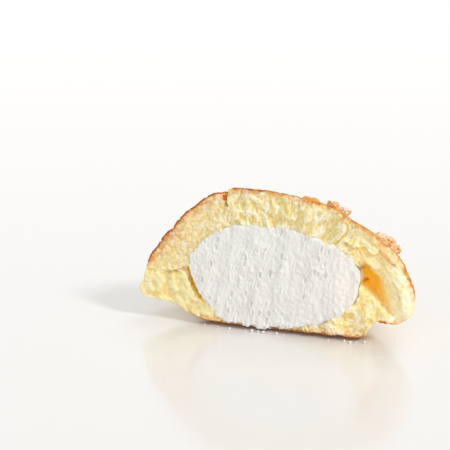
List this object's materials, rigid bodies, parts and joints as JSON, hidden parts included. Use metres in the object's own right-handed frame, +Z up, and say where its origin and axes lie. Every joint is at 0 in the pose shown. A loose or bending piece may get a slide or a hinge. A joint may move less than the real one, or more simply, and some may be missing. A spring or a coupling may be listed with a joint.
{
  "type": "castella cake",
  "caption": "Half of an oval sponge bun with a browned, domed crust, cut across to show its thick core of whipped cream, and standing on its baked base.",
  "frame": {"origin": "middle of the bounding box, at the height of the flat base", "axes": "+X along the cut face from its lifted tip to its rounded wing, +Y from the cut face to the rounded back, +Z up"},
  "size_m": [0.1146, 0.0476, 0.0587],
  "materials": {
    "sponge": "baked sponge crumb, browned on its outside",
    "cream": "whipped cream, soft satin"
  },
  "bodies": {
    "root": {"sponge": "sponge", "cream": "cream"}
  },
  "joints": []
}
